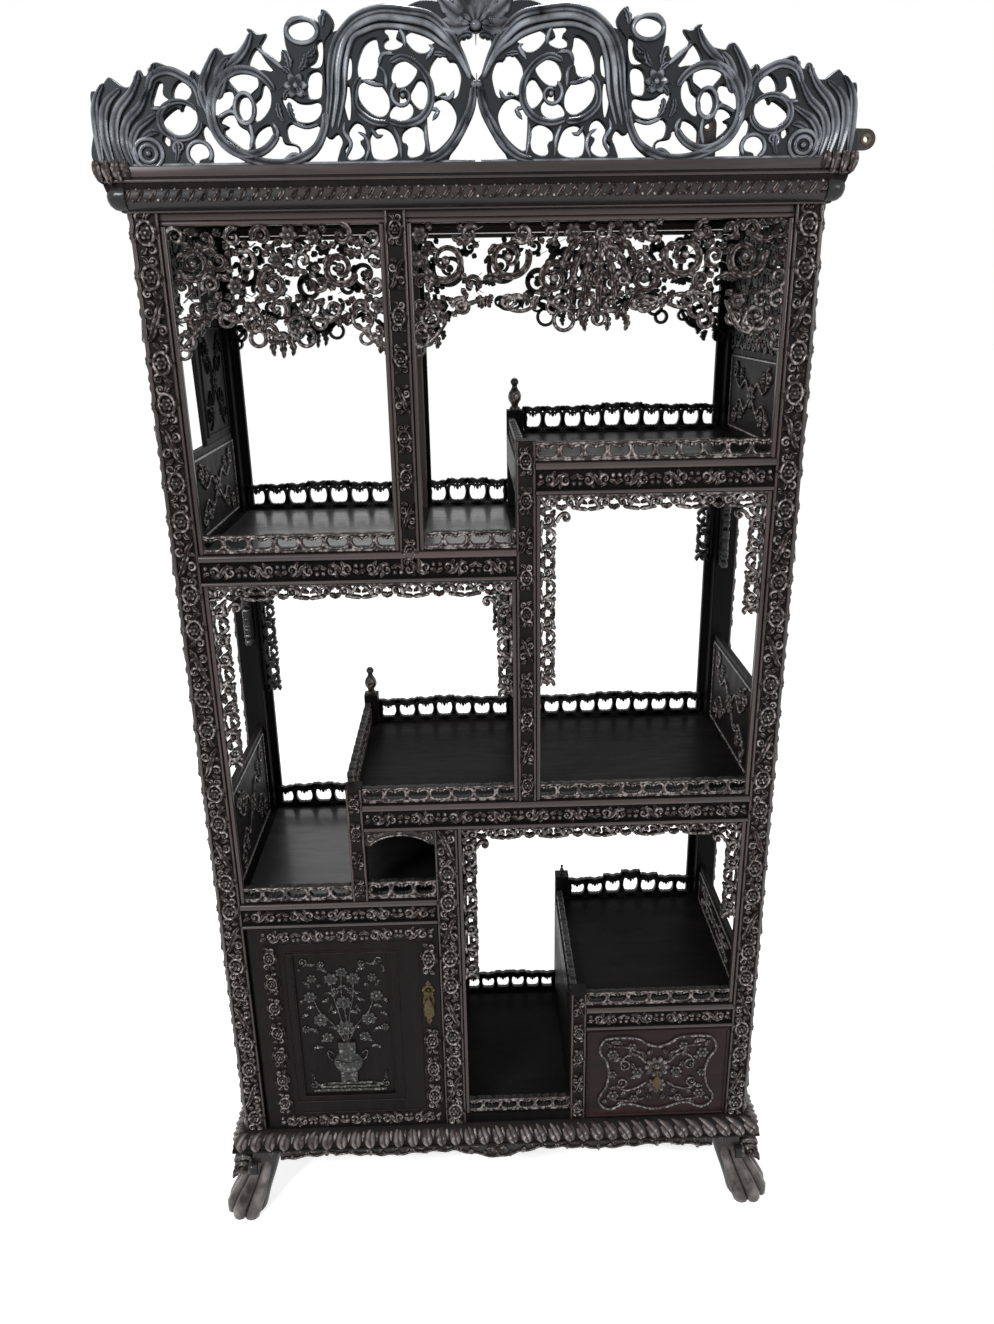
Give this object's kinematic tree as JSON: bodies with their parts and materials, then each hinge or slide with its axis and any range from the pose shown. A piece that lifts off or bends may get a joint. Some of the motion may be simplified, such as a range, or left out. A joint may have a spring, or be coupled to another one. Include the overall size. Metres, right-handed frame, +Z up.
{
  "type": "display cabinet",
  "caption": "Tall carved rosewood display cabinet with staggered open shelves, pierced galleries, a hinged cupboard, a drawer, clawed feet and a scroll cresting.",
  "frame": {"origin": "middle of the footprint on the floor", "axes": "+X to the right seen from the front, +Y towards the back, +Z up"},
  "size_m": [1.0567, 0.4146, 2.054],
  "materials": {
    "carved_rosewood": "dark lacquered, carved",
    "plain_rosewood": "dark lacquered, polished",
    "brass": "aged"
  },
  "bodies": {
    "cabinet": {"post_front_left": "carved_rosewood", "post_front_right": "carved_rosewood", "post_back_left": "carved_rosewood", "post_back_right": "carved_rosewood", "foot_front_left": "carved_rosewood", "foot_front_right": "carved_rosewood", "foot_back_left": "carved_rosewood", "foot_back_right": "carved_rosewood", "base_moulding": "carved_rosewood", "aprons": "carved_rosewood", "bottom_boards": "plain_rosewood", "cornice": "carved_rosewood", "top_board": "plain_rosewood", "cresting_left": "carved_rosewood", "cresting_right": "carved_rosewood", "crest_shell": "carved_rosewood", "mid_post_front": "carved_rosewood", "mid_post_back": "carved_rosewood", "centre_post_front": "carved_rosewood", "centre_post_back": "carved_rosewood", "short_posts": "carved_rosewood", "divider_post_front": "carved_rosewood", "divider_post_back": "carved_rosewood", "drawer_posts": "carved_rosewood", "finials": "carved_rosewood", "shelf_upper_left": "plain_rosewood", "shelf_upper_right": "plain_rosewood", "shelf_middle": "plain_rosewood", "shelf_cupboard": "plain_rosewood", "shelf_drawer": "plain_rosewood", "gallery_upper_left": "carved_rosewood", "gallery_upper_right": "carved_rosewood", "gallery_middle": "carved_rosewood", "gallery_cupboard": "carved_rosewood", "gallery_drawer": "carved_rosewood", "gallery_niche": "carved_rosewood", "valance_left": "carved_rosewood", "valance_right": "carved_rosewood", "fret_mid_left": "carved_rosewood", "fret_mid_right": "carved_rosewood", "fret_lower": "carved_rosewood", "compartment_valance": "carved_rosewood", "side_panels_left": "carved_rosewood", "side_panels_right": "carved_rosewood", "side_frets_left": "carved_rosewood", "side_frets_right": "carved_rosewood", "cupboard_walls": "plain_rosewood", "drawer_case": "plain_rosewood", "wall_plates": "carved_rosewood", "eyelets": "brass"},
    "door": {"door_frame": "carved_rosewood", "door_panel": "carved_rosewood", "door_pivots": "carved_rosewood", "door_pull_plate": "brass"},
    "drawer": {"drawer_front": "carved_rosewood", "drawer_box": "plain_rosewood", "drawer_pull_plate": "brass"},
    "door_drop": {"door_pull_drop": "brass"},
    "drawer_drop": {"drawer_pull_drop": "brass"}
  },
  "joints": [
    {"name": "door_hinge", "type": "hinge", "parent": "cabinet", "child": "door", "pos_m": [-0.426, -0.157, 0.401], "axis": [0, 0, -1], "range_deg": [0, 90]},
    {"name": "drawer_slide", "type": "slide", "parent": "cabinet", "child": "drawer", "axis": [0, -1, 0], "range_m": [0, 0.22]},
    {"name": "door_pull_swing", "type": "hinge", "parent": "door", "child": "door_drop", "pos_m": [-0.119, -0.175, 0.484], "axis": [-1, 0, 0], "range_deg": [0, 85]},
    {"name": "drawer_pull_swing", "type": "hinge", "parent": "drawer", "child": "drawer_drop", "pos_m": [0.3025, -0.175, 0.29], "axis": [-1, 0, 0], "range_deg": [0, 85]}
  ]
}
